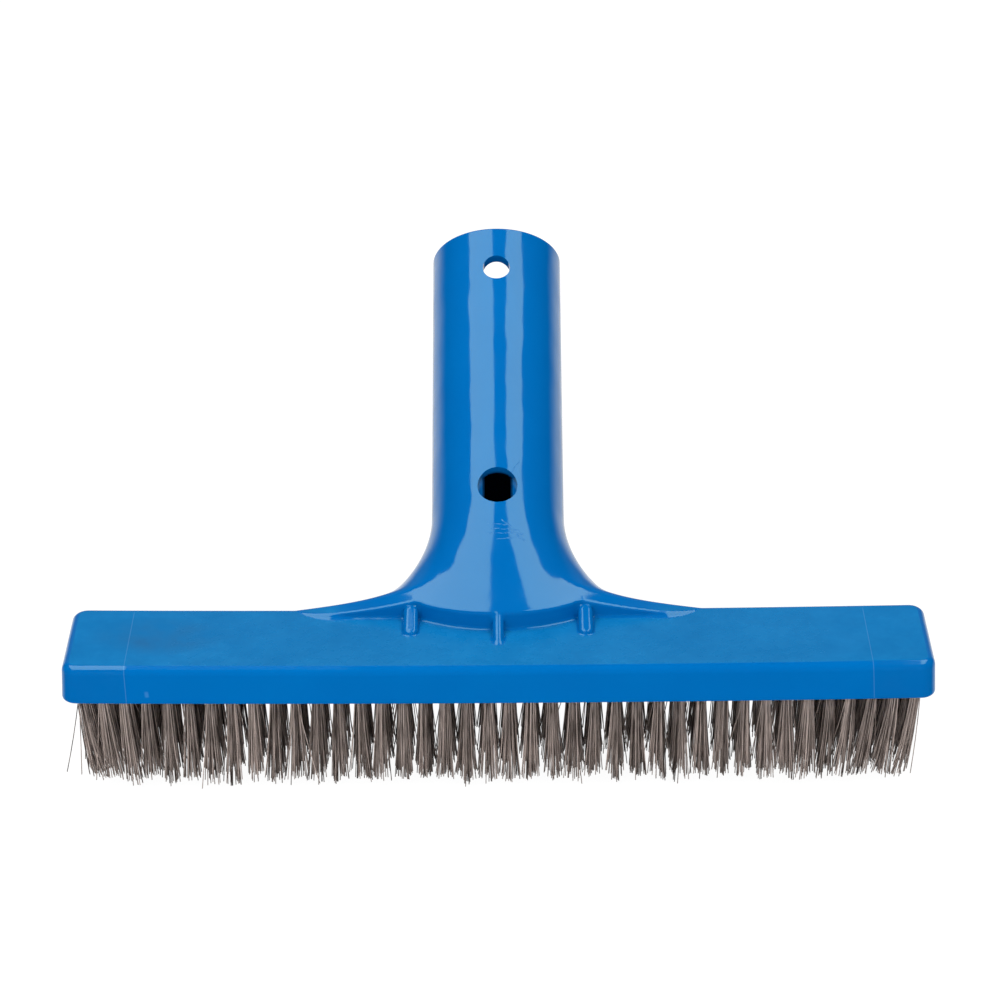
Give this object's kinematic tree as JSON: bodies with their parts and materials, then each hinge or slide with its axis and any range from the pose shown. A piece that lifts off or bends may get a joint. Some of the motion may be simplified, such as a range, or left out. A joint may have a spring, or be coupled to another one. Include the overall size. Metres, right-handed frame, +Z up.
{
  "type": "pool wall brush",
  "caption": "Straight pool wall brush head: moulded plastic bar with rows of stainless wire tufts below and a flared, back-leaning round pole socket with cross holes and gusset ribs.",
  "frame": {"origin": "centre of the brush's footprint, on the plane that the bristle tips touch. The middle of the bar is 59.93 mm in front of it", "axes": "+X along the bar, +Y to the back where the pole socket leans, +Z up out of the top of the bar, away from the bristles"},
  "size_m": [0.2538, 0.1582, 0.1209],
  "materials": {
    "blue_plastic": "glossy moulded blue plastic with faint moulding marks",
    "stainless_wire": "dull brownish grey stainless wire"
  },
  "bodies": {
    "root": {"brush_body": "blue_plastic", "tuft_column_01": "stainless_wire", "tuft_column_02": "stainless_wire", "tuft_column_03": "stainless_wire", "tuft_column_04": "stainless_wire", "tuft_column_05": "stainless_wire", "tuft_column_06": "stainless_wire", "tuft_column_07": "stainless_wire", "tuft_column_08": "stainless_wire", "tuft_column_09": "stainless_wire", "tuft_column_10": "stainless_wire", "tuft_column_11": "stainless_wire", "tuft_column_12": "stainless_wire", "tuft_column_13": "stainless_wire", "tuft_column_14": "stainless_wire", "tuft_column_15": "stainless_wire", "tuft_column_16": "stainless_wire", "tuft_column_17": "stainless_wire", "tuft_column_18": "stainless_wire", "tuft_column_19": "stainless_wire", "tuft_column_20": "stainless_wire", "tuft_column_21": "stainless_wire", "tuft_column_22": "stainless_wire", "tuft_column_23": "stainless_wire", "tuft_column_24": "stainless_wire", "tuft_column_25": "stainless_wire", "tuft_column_26": "stainless_wire", "tuft_column_27": "stainless_wire", "tuft_column_28": "stainless_wire", "tuft_column_29": "stainless_wire", "tuft_column_30": "stainless_wire", "tuft_column_31": "stainless_wire", "tuft_column_32": "stainless_wire", "tuft_column_33": "stainless_wire", "tuft_column_34": "stainless_wire", "tuft_column_35": "stainless_wire", "tuft_column_36": "stainless_wire", "tuft_column_37": "stainless_wire", "tuft_column_38": "stainless_wire", "tuft_column_39": "stainless_wire", "tuft_column_40": "stainless_wire"}
  },
  "joints": []
}
